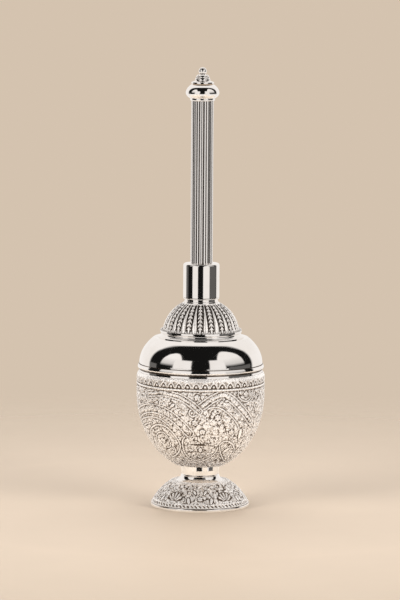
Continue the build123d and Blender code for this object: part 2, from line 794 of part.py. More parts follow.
# Rose: threaded stub, flange, and a bud of two tiers pierced between its petals
bud_high_r = bud_r - bud_step
rose_base_z = bulb_top_z - rose_stub_h
with BuildPart() as rose:
    with BuildSketch(Plane.XZ):
        with BuildLine():
            low_tier = ThreePointArc(
                (bud_r, bud_base_z),
                bowed((bud_r, bud_base_z), (bud_r - bud_step - bud_bulge, bud_step_z), bud_bulge),
                (bud_r - bud_step - bud_bulge, bud_step_z),
            )
            high_tier = ThreePointArc(
                (bud_high_r, bud_step_z),
                bowed((bud_high_r, bud_step_z), (bud_top_r, bud_top_z), bud_bulge),
                (bud_top_r, bud_top_z),
            )
            Line(low_tier @ 1, high_tier @ 0)
            Polyline(
                high_tier @ 1,
                (0, bud_top_z),
                (0, rose_base_z),
                (rose_root_r, rose_base_z),
                (rose_root_r, rose_seat_z),
                (rose_flange_r, rose_seat_z),
                (rose_flange_r, rose_slope_z),
                low_tier @ 0,
            )
        make_face()
    revolve(axis=Axis.Z)
    with BuildSketch(Plane.XY.offset(rose_base_z - overrun)):
        Circle(rose_bore_r)
    extrude(amount=bud_top_z - bud_roof - rose_base_z + overrun, mode=Mode.SUBTRACT)
    with BuildSketch(Plane.XY.offset(bud_top_z - bud_roof - overrun)):
        Circle(knob_pin_r + solder_gap)
    extrude(amount=bud_roof + 2 * overrun, mode=Mode.SUBTRACT)
    for tier_z in (bud_base_z + bud_low_h / 2, bud_step_z + slit_h / 2):
        with Locations((0, 0, tier_z)):
            with PolarLocations((rose_bore_r + bud_r) / 2, slit_count, start_angle=45):
                Box(bud_r - rose_bore_r + overrun, slit_w, slit_h, mode=Mode.SUBTRACT)
    wind_ridge(
        rose_root_r,
        rose_crest_r,
        rose_ridge_root_w,
        rose_ridge_crest_w,
        rose_pitch,
        (rose_thread_end_z - rose_thread_z) / rose_pitch,
        rose_thread_z,
    )

# Knob: a pin in the bud's roof, a short neck and a small barrel with a crown
knob_base_z = bud_top_z + knob_neck_h
knob_shoulder_z = knob_base_z + knob_barrel_h
with BuildPart() as finial_knob:
    with BuildSketch(Plane.XZ):
        with BuildLine():
            barrel = ThreePointArc(
                (knob_low_r, knob_base_z),
                (knob_r, knob_base_z + knob_belly_h),
                (knob_end_r, knob_shoulder_z),
            )
            crown = oval_arc(
                knob_end_r,
                knob_crown_h,
                knob_shoulder_z,
                knob_shoulder_z,
                knob_shoulder_z + knob_crown_h,
            )
            Polyline(
                crown @ 1,
                (0, bud_top_z - knob_pin_h),
                (knob_pin_r, bud_top_z - knob_pin_h),
                (knob_pin_r, bud_top_z),
                (knob_neck_r, bud_top_z),
                (knob_neck_r, knob_base_z),
                barrel @ 0,
            )
        make_face()
    revolve(axis=Axis.Z)

pieces = {
    "foot": foot,
    "foot_rim_ring": foot_rim_ring,
    "stem_ring": stem_ring,
    "tie_screw": tie_screw,
    "lock_washer": lock_washer,
    "flat_washer": flat_washer,
    "bowl_boss": bowl_boss,
    "bowl": bowl,
    "girdle_ring": girdle_ring,
    "shoulder": shoulder,
    "dome_ring": dome_ring,
    "dome": dome,
    "dome_collar": dome_collar,
    "filler_mouth": filler_mouth,
    "neck_washer": neck_washer,
    "neck_collar": neck_collar,
    "collar_insert": collar_insert,
    "neck_tube": neck_tube,
    "bulb_ring": bulb_ring,
    "bulb": bulb,
    "rose_socket": rose_socket,
    "rose_washer": rose_washer,
    "rose": rose,
    "finial_knob": finial_knob,
}

os.makedirs("parts", exist_ok=True)
for label, piece in pieces.items():
    piece.part.label = label
    export_step(piece.part, f"parts/{label}.step")
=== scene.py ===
"""A silver rosewater sprinkler in a plain pale studio, seen a little from above.

The polished pieces are mirror-smooth. The bowl, the dome and the foot carry embossed work that is
made here as real relief: ribbons, scrolls and an arch frieze on the bowl, wheat-ear leaves and
tongues on the dome, fans and flowers on the foot. Lengths are in metres, but in millimetres where
they shape the relief. Turns start at the front and grow to the right.
"""

import json
from math import asin, cos, pi, radians, sin, sqrt, tau

import bpy
import numpy as np
from mathutils import Matrix, Vector


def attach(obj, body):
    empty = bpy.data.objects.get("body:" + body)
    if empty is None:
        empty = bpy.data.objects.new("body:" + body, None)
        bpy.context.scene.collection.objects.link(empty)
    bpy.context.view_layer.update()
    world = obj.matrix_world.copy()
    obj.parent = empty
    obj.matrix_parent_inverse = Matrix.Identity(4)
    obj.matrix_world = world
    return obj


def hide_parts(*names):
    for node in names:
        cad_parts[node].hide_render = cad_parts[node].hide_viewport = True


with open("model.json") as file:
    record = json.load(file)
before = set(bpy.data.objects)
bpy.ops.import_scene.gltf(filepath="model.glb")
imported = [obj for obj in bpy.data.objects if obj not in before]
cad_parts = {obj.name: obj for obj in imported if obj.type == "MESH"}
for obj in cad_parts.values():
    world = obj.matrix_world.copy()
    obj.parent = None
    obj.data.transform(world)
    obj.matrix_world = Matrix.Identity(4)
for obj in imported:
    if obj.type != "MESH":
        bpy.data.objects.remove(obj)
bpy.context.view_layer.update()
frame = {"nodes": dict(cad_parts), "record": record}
nodes = frame["nodes"]
MM = 0.001
GROUND = -0.60  # deepest level of the ground of bowl and foot, in millimetres


# Outlines and surfaces turned round Z


def oval_height(radius, end_radius, climb):
    """Upright half-axis of an oval that is radius wide at its middle and end_radius at climb."""
    return climb / sqrt(1 - (end_radius / radius) ** 2)


def oval(radius, half_height, middle, low, high, steps):
    """Side of an oval round Z from one level to another, evenly spaced by its own angle."""
    first = asin((low - middle) / half_height)
    last = asin((high - middle) / half_height)
    turns = np.linspace(first, last, steps)
    return np.stack([radius * np.cos(turns), middle + half_height * np.sin(turns)], axis=1)


def bowed(start, end, bow, steps):
    """Shallow curve from start to end that bows to the right of its run."""
    start, end = np.array(start), np.array(end)
    run = end - start
    side = np.array([run[1], -run[0]]) / np.hypot(*run)
    share = np.linspace(0, 1, steps)[:, None]
    return start + run * share + side * bow * 4 * share * (1 - share)


def evenly(outline, spacing):
    """The same outline with its points a set distance apart."""
    along = np.concatenate([[0], np.cumsum(np.hypot(*np.diff(outline, axis=0).T))])
    count = max(2, round(along[-1] / spacing) + 1)
    marks = np.linspace(0, along[-1], count)
    return np.stack([np.interp(marks, along, outline[:, k]) for k in (0, 1)], axis=1)


def inset(outline, depth):
    """The same outline, moved square to itself to its left."""
    run = np.gradient(outline, axis=0)
    run /= np.hypot(*run.T)[:, None]
    return outline + depth * np.stack([-run[:, 1], run[:, 0]], axis=1)


def around(radius, turn, height):
    """Points at a radius and a turn round Z, as x, y and z."""
    points = np.broadcast_arrays(radius * np.sin(turn), -radius * np.cos(turn), height)
    return np.stack(points, axis=-1)


class Skin:
    """A surface turned round Z: rows follow its outline, columns go round, relief is depth."""

    def __init__(self, outline, columns):
        self.outline = np.asarray(outline, float)
        self.radius, self.height = self.outline.T
        steps = np.hypot(*np.diff(self.outline, axis=0).T)
        self.along = np.concatenate([[0], np.cumsum(steps)])
        self.turn = -pi + tau * np.arange(columns) / columns
        self.relief = np.zeros((len(self.outline), columns))

    def places(self):
        """Points of the plain surface, by row and column."""
        return around(self.radius[:, None], self.turn, self.height[:, None])

    def row_at(self, height):
        """Length along the outline where it reaches a height."""
        return np.interp(height, self.height, self.along)

    def radius_at(self, along):
        """Radius at a length along the outline."""
        return float(np.interp(along, self.along, self.radius))

    def window(self, turn, along, reach):
        """Rows and columns within reach of a place, and their lengths across and up from it."""
        radius = self.radius_at(along)
        step = tau / len(self.turn)
        rows = np.nonzero(np.abs(self.along - along) <= reach)[0]
        spread = int(reach / (radius * step)) + 1
        middle = round((turn + pi) / step)
        columns = np.arange(middle - spread, middle + spread + 1)
        across = (columns * step - pi - turn) * radius
        return np.ix_(rows, columns % len(self.turn)), across, self.along[rows] - along

    def distance_to(self, path, reach):
        """Distance of each point of the surface from a path, up to a reach."""
        near = np.full(self.relief.shape, reach**2)
        for turn, along in path:
            block, across, up = self.window(turn, along, reach)
            near[block] = np.minimum(near[block], up[:, None] ** 2 + across**2)
        return np.sqrt(near)

    def clear(self, share, level=GROUND, block=...):
        """Brings the relief to a level in millimetres where share is 1."""
        held = self.relief[block]
        self.relief[block] = held + (level * MM - held) * share

    def lift(self, height, block=...):
        """Raises the relief to at least a height, from 0 at the ground to 1 at the surface."""
        level = (GROUND - GROUND * height) * MM
        self.relief[block] = np.maximum(self.relief[block], level)


PATH_STEP = 0.25 * MM


def path_on(skin, points, half_turn):
    """Smooth path through points given as degrees from half_turn and millimetres of height."""
    marks = [(radians(turn + half_turn), skin.row_at(height * MM)) for turn, height in points]
    marks = np.array(marks)
    scale = skin.radius_at(marks[:, 1].mean())
    marks[:, 0] *= scale
    ends = np.concatenate([[2 * marks[0] - marks[1]], marks, [2 * marks[-1] - marks[-2]]])
    drawn = []
    for k in range(len(marks) - 1):
        before, start, end, after = ends[k : k + 4]
        count = max(2, int(np.hypot(*(end - start)) / PATH_STEP))
        t = np.linspace(0, 1, count, endpoint=False)[:, None]
        square = (2 * before - 5 * start + 4 * end - after) * t**2
        cube = (3 * start - before - 3 * end + after) * t**3
        drawn.append(0.5 * (2 * start + (end - before) * t + square + cube))
    drawn = np.concatenate(drawn + [marks[-1:]])
    drawn[:, 0] /= scale
    return drawn


def rise(values, low, high):
    """Smooth step from 0 at low to 1 at high."""
    share = np.clip((values - low) / (high - low), 0, 1)
    return share * share * (3 - 2 * share)


def fall(values, low, high):
    """Smooth step from 1 at low to 0 at high."""
    return 1 - rise(values, low, high)


WAVES = 48


def filigree(places, wavelength, seed):
    """Even random ripple of one wavelength over points in space, about -1 to 1."""
    chance = np.random.default_rng(seed)
    total = np.zeros(places.shape[:-1])
    for _ in range(WAVES):
        direction = chance.normal(size=3)
        direction *= tau / (wavelength * chance.uniform(0.85, 1.2) * np.linalg.norm(direction))
        total += np.cos(places @ direction + chance.uniform(0, tau))
    return total / sqrt(WAVES / 2)


def mesh_object(name, points, faces):
    """New smooth object in the scene from points and faces."""
    mesh = bpy.data.meshes.new(name)
    mesh.from_pydata(points.tolist(), [], faces)
    mesh.validate()
    mesh.shade_smooth()
    made = bpy.data.objects.new(name, mesh)
    bpy.context.scene.collection.objects.link(made)
    return made


def turned_object(name, carved, rest, closed):
    """Mesh of a carved skin and the plain rest of its outline.

    A closed outline joins its ends, and any other ends on the axis.
    """
    skin = Skin(np.concatenate([carved.outline, rest]), len(carved.turn))
    skin.relief[: len(carved.outline)] = carved.relief
    grid = np.arange(skin.relief.size).reshape(skin.relief.shape)
    beside = np.roll(grid, -1, axis=1)
    quads = np.stack([grid, beside, np.roll(beside, -1, axis=0), np.roll(grid, -1, axis=0)], -1)
    if closed:
        run = (np.roll(skin.outline, -1, axis=0) - np.roll(skin.outline, 1, axis=0)) / 2
    else:
        run = np.gradient(skin.outline, axis=0)
        quads = quads[:-1]
    run /= np.hypot(*run.T)[:, None]
    radius = skin.radius[:, None] + skin.relief * run[:, 1:2]
    height = skin.height[:, None] - skin.relief * run[:, 0:1]
    points = around(radius, skin.turn, height).reshape(-1, 3)
    faces = quads.reshape(-1, 4).tolist()
    if not closed:
        first, last = grid.size, grid.size + 1
        points = np.concatenate([points, [(0, 0, skin.height[0]), (0, 0, skin.height[-1])]])
        for here, after in zip(grid.T.tolist(), beside.T.tolist()):
            faces += [(first, after[0], here[0]), (last, here[-1], after[-1])]
    made = mesh_object(name, points, faces)
    depth = made.data.attributes.new("relief", "FLOAT", "POINT")
    values = np.zeros(len(points), np.float32)
    values[: grid.size] = (skin.relief / MM).ravel()
    depth.data.foreach_set("value", values)
    return made


# Bowl: an arch frieze over ribbons, cartouches, flowers and small scrolls

BOWL_RADIUS = 47.3 * MM
BOWL_BASE_RADIUS = 18.5 * MM
BOWL_BASE = 30.6 * MM
BELLY = 84.0 * MM
SIDE_TOP = 96.4 * MM
LIP = 100.0 * MM
LIP_RADIUS = 45.9 * MM
LIP_WIDTH = 1.3 * MM
LIP_LOW = 98.2 * MM  # underside of the lip, inside
THROAT = 94.6 * MM  # top of the full width, inside
SHEET = 1.0 * MM
PLATE = 1.6 * MM
BOWL_COLUMNS = 680
BOWL_SCROLLS = (31.0, 90.8, 3.1)  # from height, to height, spacing
FRIEZE_TOP = 97.3
FRIEZE_LOW = 92.9
ARCHES = 46
BORDER = 91.5  # plain line under the frieze, in millimetres
BORDER_GROOVE = 92.6  # groove over it
BORDER_MARGIN = 90.5  # and shallower groove under it

# Paths are points of (degrees from the front, height in millimetres)
RIBBONS = [
    # points, half width
    ([(-7, 75.0), (2, 80.4), (11, 85.6), (20, 88.0), (29, 84.6), (40, 76.8), (54, 66.8)], 2.7),
    ([(-1, 76.4), (-10, 82.6), (-21, 86.9), (-37, 88.6), (-54, 86.8)], 2.2),
    ([(-82, 68.6), (-66, 73.4), (-50, 76.2), (-36, 75.0), (-26, 70.9), (-18, 65.4),
      (-11, 59.4)], 3.2),
    ([(66, 89.4), (76, 82.0), (88, 76.6), (100, 72.0)], 2.6),
]
RAISED_LINES = [
    # points, half width
    ([(6, 78.2), (13, 79.4), (20, 77.6), (28, 72.6), (36, 66.6), (42, 60.0)], 0.5),
    ([(-80, 63.4), (-64, 67.6), (-50, 69.6), (-40, 68.4), (-31, 64.4)], 0.5),
    ([(-78, 59.4), (-66, 62.6), (-55, 64.8)], 0.45),
    ([(-68, 47.0), (-63, 56.0), (-53, 62.0), (-41, 64.4), (-32, 61.8), (-25, 55.1),
      (-23, 48.6), (-30, 42.4), (-44, 38.6), (-56, 38.7)], 0.6),
    ([(-48, 44.0), (-55, 50.0), (-50, 56.4), (-41, 58.6), (-35, 54.0), (-36, 48.0),
      (-43, 46.5)], 0.45),
    ([(-16, 56.4), (-19, 52.9), (-20, 47.1), (-19, 42.0), (-13, 38.2), (1, 36.5), (12, 39.1),
      (19, 43.7), (21, 48.3), (26, 52.6), (36, 50.6), (46, 44.8), (50, 38.5)], 0.6),
    ([(22, 48.7), (27, 42.5), (38, 36.9), (48, 35.3)], 0.5),
    ([(36, 91.0), (36, 86.6), (40, 83.4), (46, 82.2), (52, 84.6), (54, 88.9), (53, 91.0)], 0.5),
    ([(57, 79.0), (63, 70.0), (63, 60.0), (57, 50.0), (51, 43.0)], 0.55),
    ([(70, 69.0), (69, 58.0), (77, 50.0), (90, 49.0), (97, 57.0), (93, 66.0), (82, 69.5),
      (70, 69.0)], 0.5),
    ([(-92, 46.0), (-80, 40.0), (-68, 40.4), (-56, 38.7)], 0.5),
    ([(50, 38.5), (62, 42.0), (76, 41.0), (88, 46.0)], 0.5),
]
ROSETTES = [
    # turn, height, radius, petals
    (-5, 67.6, 2.5, 6), (2, 60.6, 2.4, 5), (45, 87.4, 2.5, 5), (-44, 52.0, 2.5, 6),
    (16, 71.4, 2.6, 6), (-3, 86.6, 2.4, 5), (-66, 82.5, 2.4, 6), (32, 59.6, 2.5, 6),
    (83, 59.2, 2.5, 6), (-84, 54.0, 2.6, 6), (60, 84.6, 2.2, 5), (0, 40.4, 2.0, 5),
    (80, 90.0, 1.9, 5), (-78, 88.6, 2.0, 5),
]
LEAVES = [
    # turn, height, length, half width, lean in degrees: smooth raised leaves
    (44, 57.2, 11.0, 2.0, -6),
    (0, 45.9, 5.0, 1.7, 0),
    (-26, 80.0, 5.0, 1.3, 55),
    (33, 45.0, 8.0, 1.6, 40),
    (24, 83.6, 3.6, 1.0, 90),
    (88, 86.4, 6.0, 1.4, -60),
]
SLIT = (-1, 50.2, 7.2, 0.85)  # turn, height, half length, half width of a narrow dark slit
SLIT_LEVEL = -0.85  # in millimetres, as are the next four
LINE_MARGIN = 0.75  # width of the sunk margin beside a raised line
WIDE_RIBBON = 2.5  # half width over which a ribbon has scrolls, not beads
RIBBON_SCROLLS = 3.1  # from scroll to scroll
RIBBON_BEADS = 1.75  # and from bead to bead


class Patch:
    """Rows and columns of a skin near one place, with lengths from it in millimetres."""

    def __init__(self, skin, turn, along, reach):
        self.skin = skin
        self.block, across, up = skin.window(turn, along, reach * MM)
        self.side, self.up = np.meshgrid(across / MM, up / MM)

    def turned(self, lean):
        """Lengths across and along a direction that leans clockwise from upwards."""
        across = self.side * cos(lean) - self.up * sin(lean)
        ahead = self.side * sin(lean) + self.up * cos(lean)
        return across, ahead

    def clear(self, share, level=GROUND):
        """Clears the skin here."""
        self.skin.clear(share, level, self.block)

    def lift(self, height):
        """Lifts the skin here."""
        self.skin.lift(height, self.block)


def set_rosette(skin, turn, height, radius, petals):
    """A small flower with a raised eye on sunk ground."""
    patch = Patch(skin, radians(turn), skin.row_at(height * MM), radius * 1.25)
    away = np.hypot(patch.side, patch.up)
    angle = np.arctan2(patch.side, patch.up)
    wave = np.abs(np.cos(petals * angle / 2))
    edge = radius * (0.62 + 0.38 * wave**0.7)
    leaf = fall(away, edge * 0.86, edge) * (0.35 + 0.65 * wave**0.6)
    leaf *= rise(away, radius * 0.24, radius * 0.46)
    eye = fall(away, radius * 0.18, radius * 0.34)
    patch.clear(fall(away, radius * 1.02, radius * 1.22))
    patch.lift(np.maximum(leaf, eye))


def set_leaf(skin, turn, height, length, half_width, lean):
    """A smooth pointed leaf."""
    patch = Patch(skin, radians(turn), skin.row_at(height * MM), length * 0.75)
    across, ahead = patch.turned(radians(lean))
    share = np.clip(1 - (2 * ahead / length) ** 2, 0, 1)
    swell = half_width * share
    body = fall(np.abs(across), swell * 0.55, np.maximum(swell, 0.01))
    body = np.where(share > 0, body, 0)
    margin = fall(np.abs(across), swell + 0.35, swell + 0.8)
    patch.clear(np.where(np.abs(ahead) < length / 2 + 0.6, margin, 0))
    patch.lift(body)


def set_curl(skin, turn, along, size, lean, hand):
    """A small scroll: one and a quarter turns of a spiral round a bead, with a tail."""
    patch = Patch(skin, turn, along, size * 1.5)
    across, ahead = patch.turned(lean)
    across = across * hand
    away = np.hypot(across, ahead)
    patch.clear(fall(away, size * 0.95, size * 1.2))
    angle = np.arctan2(across, ahead) / tau % 1
    pitch = size * 0.62
    ring = (away / pitch - angle + 0.5) % 1 - 0.5
    arm = fall(np.abs(ring) * pitch, 0.22, 0.48)
    arm *= fall(away, size * 0.95, size * 1.1)
    eye = fall(away, 0.25, 0.5)
    tail = fall(np.abs(across - size * 0.72), 0.2, 0.48)
    tail *= rise(-ahead, -0.2, 0.2) * fall(-ahead, size * 1.0, size * 1.35)
    patch.lift(np.maximum(np.maximum(0.9 * arm, eye), 0.85 * tail))


def set_sprig(skin, turn, along, size, lean):
    """A pair of small leaves on a stalk."""
    patch = Patch(skin, turn, along, size * 1.3)
    across, ahead = patch.turned(lean)
    total = fall(np.abs(across), 0.16, 0.42)
    total *= fall(np.abs(ahead), size * 0.9, size * 1.1)
    for side in (-1, 1):
        out = (across * side) * 0.8 + ahead * 0.6
        wide = ahead * 0.8 - (across * side) * 0.6
        share = np.clip(1 - ((out - size * 0.5) / (size * 0.55)) ** 2, 0, 1)
        blade = fall(np.abs(wide), 0.42 * share, 0.75 * share + 0.01)
        total = np.maximum(total, np.where(share > 0, blade, 0))
    patch.lift(0.92 * total)


def set_bead(skin, turn, along, radius):
    """A small round bead."""
    patch = Patch(skin, turn, along, radius * 1.3 + 0.4)
    away = np.hypot(patch.side, patch.up)
    patch.lift(np.sqrt(np.clip(1 - (away / (radius * 1.15)) ** 2, 0, 1)))


def cut_slit(skin, turn, height, half_length, half_width):
    """A narrow dark slit with pointed ends."""
    patch = Patch(skin, radians(turn), skin.row_at(height * MM), half_length + 1)
    slit = half_width * np.clip(1 - (patch.side / half_length) ** 2, 0, 1)
    sunk = fall(np.abs(patch.up), slit * 0.7, slit + 0.05)
    sunk = np.where(np.abs(patch.side) < half_length, sunk, 0)
    patch.clear(sunk, SLIT_LEVEL)


def raise_line(skin, half_turn, points, half_width):
    """A raised line with a narrow sunk margin on each side."""
    reach = half_width + LINE_MARGIN + 0.3
    away = skin.distance_to(path_on(skin, points, half_turn), reach * MM) / MM
    skin.clear(0.8 * fall(away, half_width + LINE_MARGIN * 0.6, half_width + LINE_MARGIN))
    skin.lift(fall(away, half_width * 0.5, half_width + 0.2))


def lay_ribbon(skin, half_turn, points, half_width):
    """A band between raised lines, with scrolls or beads along its middle."""
    path = path_on(skin, points, half_turn)
    away = skin.distance_to(path, (half_width + 1.6) * MM) / MM
    margin = rise(away, half_width, half_width + 0.3)
    margin *= fall(away, half_width + 0.8, half_width + 1.1)
    cut = fall(np.abs(away - half_width + 0.85), 0.15, 0.45)
    skin.clear(0.75 * np.maximum(margin, cut))
    skin.lift(fall(np.abs(away - half_width), 0.24, 0.58))
    wide = half_width > WIDE_RIBBON
    spacing = (RIBBON_SCROLLS if wide else RIBBON_BEADS) * MM
    gone = 0.0
    hand = 1
    for before, after in zip(path[:-1], path[1:]):
        sideways = (after[0] - before[0]) * skin.radius_at(before[1])
        upward = after[1] - before[1]
        gone += float(np.hypot(sideways, upward))
        if gone < spacing:
            continue
        gone -= spacing
        if wide:
            hand = -hand
            lean = float(np.arctan2(sideways, upward))
            set_curl(skin, after[0], after[1], (half_width - 1.35) * 0.8, lean, hand)
        else:
            set_bead(skin, after[0], after[1], 0.6)


TRIES = 24  # draws for each place that is free
CURLS_BELOW = 0.5  # share of the places that get a scroll
SPRIGS_BELOW = 0.85  # and a scroll or a sprig, where the others get a bead
MOTIF_SIZE = (0.42, 0.56)  # of a scroll or sprig, as a share of the spacing
BEAD_SIZE = (0.6, 0.95)  # in millimetres
GRAIN = 1.7 * MM  # wavelength of the swellings of the ground
WINDING = 3.3 * MM  # and of the cuts between them


def scatter(skin, low, high, spacing, seed):
    """Even random places between two heights, as (turn, along)."""
    chance = np.random.default_rng(seed)
    first, last = skin.row_at(low * MM), skin.row_at(high * MM)
    apart = (spacing * MM) ** 2
    widest = skin.radius.max()
    kept = np.zeros((0, 3))
    chosen = []
    for _ in range(int(TRIES * (last - first) * tau * widest / apart)):
        along = chance.uniform(first, last)
        turn = chance.uniform(-pi, pi)
        radius = skin.radius_at(along)
        if chance.uniform(0, widest) > radius:
            continue
        height = float(np.interp(along, skin.along, skin.height))
        place = np.array([radius * sin(turn), -radius * cos(turn), height])
        if len(kept) and np.min(np.sum((kept - place) ** 2, axis=1)) < apart:
            continue
        kept = np.concatenate([kept, place[None, :]])
        chosen.append((turn, along))
    return chosen


def grain_ground(skin, seed):
    """Ground of small rounded swellings with narrow winding cuts between them."""
    grain = filigree(skin.places(), GRAIN, seed)
    winding = fall(np.abs(filigree(skin.places(), WINDING, seed + 1)), 0.12, 0.62)
    level = GROUND * (0.36 - 0.22 * rise(grain, -0.4, 1.0) + 0.64 * winding)
    skin.relief[:] = level * MM


def set_scrolls(skin, low, high, spacing, seed):
    """Small scrolls, sprigs and beads all over the ground."""
    chance = np.random.default_rng(seed)
    for turn, along in scatter(skin, low, high, spacing, seed):
        lean = chance.uniform(0, tau)
        kind = chance.uniform()
        if kind < CURLS_BELOW:
            size = spacing * chance.uniform(*MOTIF_SIZE)
            set_curl(skin, turn, along, size, lean, chance.choice([-1, 1]))
        elif kind < SPRIGS_BELOW:
            set_sprig(skin, turn, along, spacing * chance.uniform(*MOTIF_SIZE), lean)
        else:
            set_bead(skin, turn, along, chance.uniform(*BEAD_SIZE))


def set_frieze(skin):
    """A row of small pointed arches, each over a bead, between two plain lines."""
    pitch = 360 / ARCHES
    share = ((np.degrees(skin.turn) / pitch) % 1 - 0.5)[None, :] * 2
    tall = (skin.height[:, None] / MM - FRIEZE_LOW) / (FRIEZE_TOP - FRIEZE_LOW)
    arch = 0.86 * (1 - np.abs(share / 0.86) ** 2.2)
    steep = np.sqrt(1 + (2.6 * np.abs(share)) ** 2)
    rib = fall(np.abs(tall - arch) / steep, 0.06, 0.17)
    bead = fall(np.hypot(share / 0.34, (tall - 0.26) / 0.26), 0.5, 1.0)
    drop = fall(np.hypot(share / 0.16, (tall - 1.0) / 0.12), 0.4, 1.0)
    above = 0.46 * rise(tall - arch, 0.10, 0.22) * (1 - 0.8 * drop)
    carved = (GROUND - GROUND * np.maximum(np.maximum(rib, bead), above)) * MM
    skin.relief = np.where((tall > 0) & (tall < 1), carved, skin.relief)


def bowl_outline():
    """Outside of the bowl in fine steps and its inside in coarse ones."""
    half_height = oval_height(BOWL_RADIUS, BOWL_BASE_RADIUS, BELLY - BOWL_BASE)
    lip_curl = bowed((BOWL_RADIUS, SIDE_TOP), (LIP_RADIUS, LIP), 0.35 * MM, 9)
    side = oval(BOWL_RADIUS, half_height, BELLY, BOWL_BASE, BELLY, 200)
    outside = evenly(np.concatenate([side, lip_curl]), 0.60 * MM)
    inner_radius = BOWL_RADIUS - SHEET
    hollow = oval(inner_radius, half_height - SHEET, BELLY, BOWL_BASE + PLATE, BELLY, 10)
    mouth = LIP_RADIUS - LIP_WIDTH
    inside = [[(mouth, LIP), (mouth, LIP_LOW), (inner_radius, THROAT)], hollow[::-1]]
    return outside, np.concatenate(inside)


def emboss_bowl():
    """The whole bowl as one closed mesh, whose back repeats its front."""
    outside, inside = bowl_outline()
    skin = Skin(outside, BOWL_COLUMNS)
    grain_ground(skin, seed=3)
    set_scrolls(skin, *BOWL_SCROLLS, seed=7)
    for half_turn in (0, 180):
        for points, half_width in RAISED_LINES:
            raise_line(skin, half_turn, points, half_width)
        for points, half_width in RIBBONS:
            lay_ribbon(skin, half_turn, points, half_width)
        for turn, *size in ROSETTES:
            set_rosette(skin, turn + half_turn, *size)
        for turn, *size in LEAVES:
            set_leaf(skin, turn + half_turn, *size)
        cut_slit(skin, SLIT[0] + half_turn, *SLIT[1:])
    set_frieze(skin)
    height = skin.height[:, None] / MM
    groove = fall(np.abs(height - BORDER_GROOVE), 0.25, 0.65)
    under = fall(np.abs(height - BORDER_MARGIN), 0.2, 0.55)
    skin.clear(np.maximum(groove, 0.7 * under))
    border = fall(np.abs(height - BORDER), 0.35, 0.75)
    plain = rise(height, 97.2, 97.6)
    base = fall(height, 30.2, 31.2)
    skin.clear(np.maximum(np.maximum(border, plain), base), 0.0)
    made = turned_object("bowl_embossed", skin, inside, closed=False)
    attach(made, "body")
    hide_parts("bowl")
    return made


# Dome: leaf columns and tongues

DOME_RADIUS = 28.3 * MM
DOME_TOP_RADIUS = 13.35 * MM
DOME_LOW = 125.3 * MM
DOME_SPRING = 128.0 * MM
DOME_TOP = 151.0 * MM
MOUTH_HOLE = 9.05 * MM
LEAF_COLUMNS = 20
LEAF_TURN = 1.5  # degrees from the front, to the left, of the nearest leaf
DOME_DEPTH = -0.85  # in millimetres
CHEVRON = 3.1


def emboss_dome():
    """The dome as one closed mesh, with wheat-ear leaves between smooth tongues."""
    half_height = oval_height(DOME_RADIUS, DOME_TOP_RADIUS, DOME_TOP - DOME_SPRING)
    vault = oval(DOME_RADIUS, half_height, DOME_SPRING, DOME_SPRING, DOME_TOP, 120)
    outside = evenly(vault, 0.36 * MM)
    inner_radius = DOME_RADIUS - SHEET
    inner_top = DOME_TOP - SHEET
    inner = oval(inner_radius, half_height - SHEET, DOME_SPRING, DOME_SPRING, inner_top, 8)
    hole = [(MOUTH_HOLE, DOME_TOP), (MOUTH_HOLE, inner_top)]
    foot = [(inner_radius, DOME_LOW), (DOME_RADIUS, DOME_LOW)]
    skin = Skin(outside, 40 * LEAF_COLUMNS)
    up = skin.along[:, None] / MM
    radius = skin.radius[:, None] / MM
    reach = float(up[-1, 0])
    repeat = ((np.degrees(skin.turn) + LEAF_TURN) / (360 / LEAF_COLUMNS) + 0.5) % 1 - 0.5
    side = repeat[None, :] * tau / LEAF_COLUMNS * radius
    half = pi / LEAF_COLUMNS * radius
    away = np.abs(side)

    ear_half = 0.43 * half
    phase = (up + 1.25 * away) / CHEVRON % 1
    scale = rise(phase, 0.0, 0.12) * fall(phase, 0.42, 0.70)
    ear = np.maximum(scale, 0.85 * fall(away, 0.15, 0.45))
    ear *= fall(away, ear_half * 0.80, ear_half) * rise(up, 5.2, 6.0)
    bud_half = 0.95 * np.sqrt(np.clip(1 - ((up - 3.6) / 3.0) ** 2, 0, 1))
    bud = fall(away, bud_half * 0.5, np.maximum(bud_half, 0.01))
    bud = np.where(bud_half > 0, bud, 0)

    aside = half - away
    taper = np.clip((0.80 * reach - up) / (0.80 * reach - 3.0), 0, 1)
    tongue_half = 0.52 * half * (0.22 + 0.78 * taper**0.75)
    tongue_half = tongue_half * np.sqrt(np.clip((up - 0.9) / 3.0, 0, 1))
    tongue = np.clip(1 - (aside / np.maximum(tongue_half, 0.01)) ** 2.6, 0, 1)
    tongue = np.where(up > 0.9, tongue, 0)
    lobe_away = np.hypot((away - 0.46 * half) / 0.85, (up - 2.9) / 2.2)
    lobe = fall(lobe_away, 0.5, 1.0)
    tongue *= rise(lobe_away, 1.0, 1.3)

    raised = np.maximum(np.maximum(0.92 * ear, bud), np.maximum(tongue, 0.8 * lobe))
    low_ring = fall(up, 0.45, 0.95)
    high_ring = rise(up, reach - 0.9, reach - 0.4)
    raised = np.maximum(raised, np.maximum(low_ring, high_ring))
    skin.relief[:] = (DOME_DEPTH - DOME_DEPTH * raised) * MM
    rest = np.concatenate([hole, inner[::-1], foot])
    made = turned_object("dome_embossed", skin, rest, closed=True)
    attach(made, "body")
    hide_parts("dome")
    return made


# Foot: shells and flowers among scrolls

